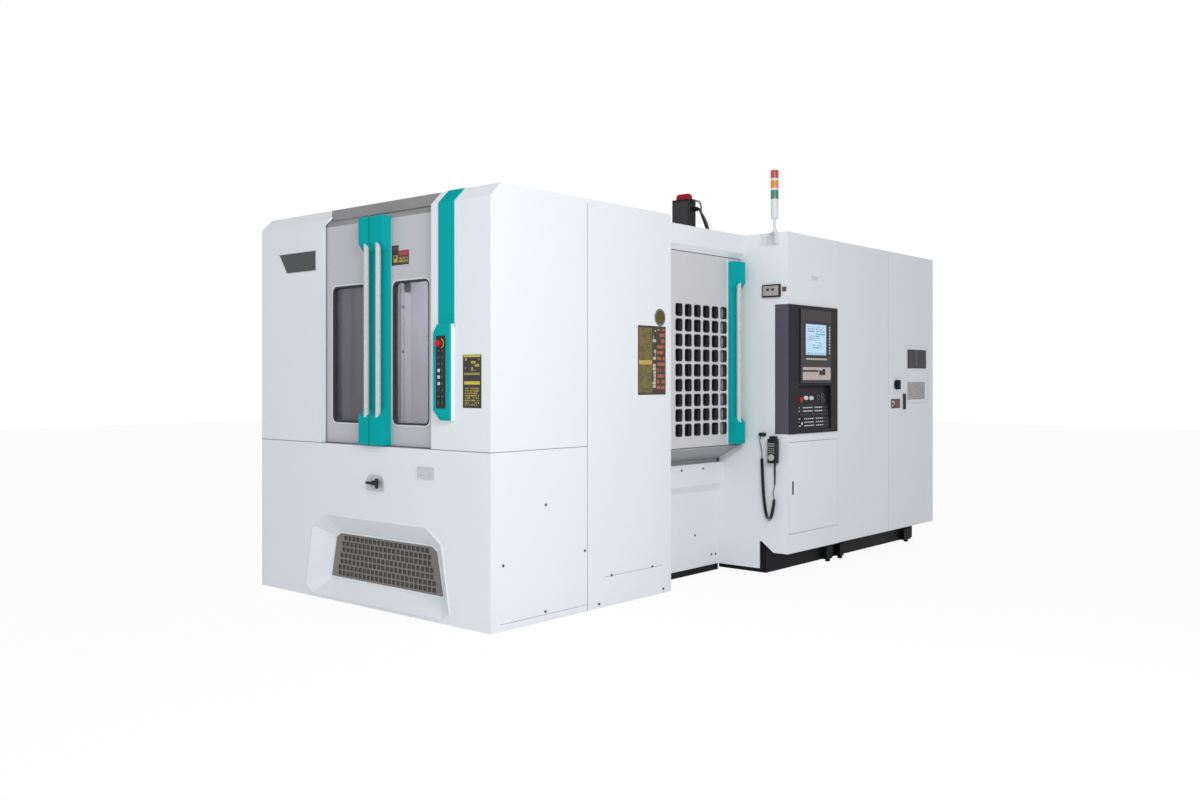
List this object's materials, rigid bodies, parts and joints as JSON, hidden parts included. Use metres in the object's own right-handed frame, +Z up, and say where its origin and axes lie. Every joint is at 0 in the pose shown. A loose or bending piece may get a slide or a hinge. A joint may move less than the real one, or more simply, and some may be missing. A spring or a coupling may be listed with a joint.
{
  "type": "cnc machining center",
  "caption": "Horizontal machining centre in white sheet panels, with a pallet-changer cell, sliding glazed doors, an operator's column and rear electrical cabinets",
  "frame": {"origin": "the middle of the machine's outline on the floor", "axes": "+Z up; -Y is the loading front with the two sliding doors; +X is the side with the operator's panel and the cabinets"},
  "size_m": [2.79, 5.287, 3.087],
  "materials": {
    "body_white": "fine textured white powder coat",
    "door_grey": "satin warm grey powder coat",
    "teal_paint": "satin teal powder coat",
    "base_black": "semi-gloss black enamel",
    "casting_grey": "painted grey casting with ground ways",
    "changer_grey": "pale grey enamel",
    "ground_steel": "ground and oiled steel",
    "zinc_steel": "zinc plated",
    "mesh_grey": "dark grey coated punched sheet",
    "bar_grey": "satin anodised",
    "unit_grey": "grey sheet steel",
    "motor_black": "semi-gloss black enamel",
    "housing_black": "satin black powder coat",
    "black_plastic": "moulded black plastic",
    "light_grey_plastic": "moulded light grey plastic",
    "red_plastic": "moulded red plastic",
    "lens_red": "clear tinted lens",
    "screen_blue": "display panel",
    "window_glass": "laminated safety glass",
    "cord_black": "black cable sheath"
  },
  "bodies": {
    "machine": {"base_frame": "base_black", "machine_bed": "casting_grey", "levelling_feet": "zinc_steel", "front_lower_panel": "body_white", "alcove_grille": "mesh_grey", "front_fittings": "body_white", "tower_covers": "body_white", "control_pod": "teal_paint", "roof_panels": "body_white", "right_side_panels": "body_white", "left_side_panels": "body_white", "rear_panels": "body_white", "recess_wall": "body_white", "side_sill": "body_white", "column_covers": "body_white", "cabinet_body": "body_white", "drive_units": "unit_grey", "console_fascia": "body_white", "operator_housing": "housing_black", "screen": "screen_blue", "stack_light_stand": "light_grey_plastic", "stack_lenses": "lens_red", "console_fittings": "black_plastic", "handset": "black_plastic", "cord_leads": "cord_black", "cord_coil": "cord_black", "motor_cables": "cord_black", "axis_motor": "motor_black", "bulkhead": "body_white", "spindle_column": "casting_grey"},
    "left_door": {"left_door_leaf": "door_grey", "left_door_window": "window_glass", "left_door_handle": "teal_paint", "left_door_bar": "bar_grey"},
    "right_door": {"right_door_leaf": "door_grey", "right_door_window": "window_glass", "right_door_handle": "teal_paint", "right_door_bar": "bar_grey"},
    "side_door": {"side_door_leaf": "door_grey", "side_door_window": "window_glass", "side_door_handle": "teal_paint", "side_door_bar": "bar_grey"},
    "console_door": {"console_door": "body_white"},
    "service_door": {"service_door": "body_white"},
    "power_door": {"power_door": "body_white"},
    "breaker_handle": {"breaker_handle": "black_plastic"},
    "power_door_latch": {"power_door_latch": "black_plastic"},
    "front_latch": {"front_latch": "black_plastic"},
    "pod_stop_button": {"pod_stop_button": "red_plastic"},
    "panel_stop_button": {"panel_stop_button": "red_plastic"},
    "override_knob": {"override_knob": "black_plastic"},
    "handset_dial": {"handset_dial": "light_grey_plastic"},
    "spindle_head": {"spindle_head": "casting_grey"},
    "spindle": {"spindle": "ground_steel"},
    "z_saddle": {"z_saddle": "casting_grey"},
    "x_slide": {"x_slide": "casting_grey"},
    "rotary_table": {"rotary_table": "ground_steel"},
    "pallet_changer": {"pallet_changer": "changer_grey", "pallets": "ground_steel"},
    "tool_magazine": {"tool_magazine": "ground_steel"}
  },
  "joints": [
    {"name": "left_door_slide", "type": "slide", "parent": "machine", "child": "left_door", "axis": [-1, 0, 0], "range_m": [0, 0.425]},
    {"name": "right_door_slide", "type": "slide", "parent": "machine", "child": "right_door", "axis": [1, 0, 0], "range_m": [0, 0.425]},
    {"name": "side_door_slide", "type": "slide", "parent": "machine", "child": "side_door", "axis": [0, -1, 0], "range_m": [0, 0.76]},
    {"name": "console_door_hinge", "type": "hinge", "parent": "machine", "child": "console_door", "pos_m": [1.35, 0.8495, 0.6665], "axis": [0, 0, 1], "range_deg": [0, 90]},
    {"name": "service_door_hinge", "type": "hinge", "parent": "machine", "child": "service_door", "pos_m": [1.35, 1.7435, 1.3775], "axis": [0, 0, 1], "range_deg": [0, 90]},
    {"name": "power_door_hinge", "type": "hinge", "parent": "machine", "child": "power_door", "pos_m": [1.35, 2.6435, 1.3775], "axis": [0, 0, 1], "range_deg": [0, 90]},
    {"name": "breaker_turn", "type": "hinge", "parent": "power_door", "child": "breaker_handle", "pos_m": [1.37, 1.8815, 1.433], "axis": [1, 0, 0], "range_deg": [0, 90]},
    {"name": "power_latch_turn", "type": "hinge", "parent": "power_door", "child": "power_door_latch", "pos_m": [1.36, 2.0375, 1.338], "axis": [1, 0, 0], "range_deg": [0, 90]},
    {"name": "front_latch_turn", "type": "hinge", "parent": "machine", "child": "front_latch", "pos_m": [-0.084, -2.5925, 0.812], "axis": [0, 1, 0], "range_deg": [0, 90]},
    {"name": "pod_stop_push", "type": "slide", "parent": "machine", "child": "pod_stop_button", "axis": [0, 1, 0], "range_m": [0, 0.005], "stiffness_N_per_m": 2000},
    {"name": "panel_stop_push", "type": "slide", "parent": "machine", "child": "panel_stop_button", "axis": [-1, 0, 0], "range_m": [0, 0.005], "stiffness_N_per_m": 2000},
    {"name": "override_turn", "type": "hinge", "parent": "machine", "child": "override_knob", "pos_m": [1.36, 0.2775, 1.144], "axis": [1, 0, 0], "range_deg": [-135, 135]},
    {"name": "handset_dial_turn", "type": "hinge", "parent": "machine", "child": "handset_dial", "pos_m": [1.247, 0.04, 0.896], "axis": [0, 1, 0], "continuous": true},
    {"name": "head_slide", "type": "slide", "parent": "machine", "child": "spindle_head", "axis": [0, 0, 1], "range_m": [-0.35, 0.35]},
    {"name": "spindle_turn", "type": "hinge", "parent": "spindle_head", "child": "spindle", "pos_m": [-0.1, 0.3, 1.55], "axis": [0, 1, 0], "continuous": true},
    {"name": "saddle_slide", "type": "slide", "parent": "machine", "child": "z_saddle", "axis": [0, 1, 0], "range_m": [0, 0.3]},
    {"name": "cross_slide", "type": "slide", "parent": "z_saddle", "child": "x_slide", "axis": [1, 0, 0], "range_m": [-0.35, 0.35]},
    {"name": "table_turn", "type": "hinge", "parent": "x_slide", "child": "rotary_table", "pos_m": [-0.1, -0.5385, 0.9], "axis": [0, 0, 1], "continuous": true},
    {"name": "changer_swing", "type": "hinge", "parent": "machine", "child": "pallet_changer", "pos_m": [-0.1, -1.2185, 0.95], "axis": [0, 0, 1], "range_deg": [0, 180]},
    {"name": "magazine_turn", "type": "hinge", "parent": "machine", "child": "tool_magazine", "pos_m": [-1.08, 1.3315, 1.5], "axis": [1, 0, 0], "continuous": true}
  ]
}
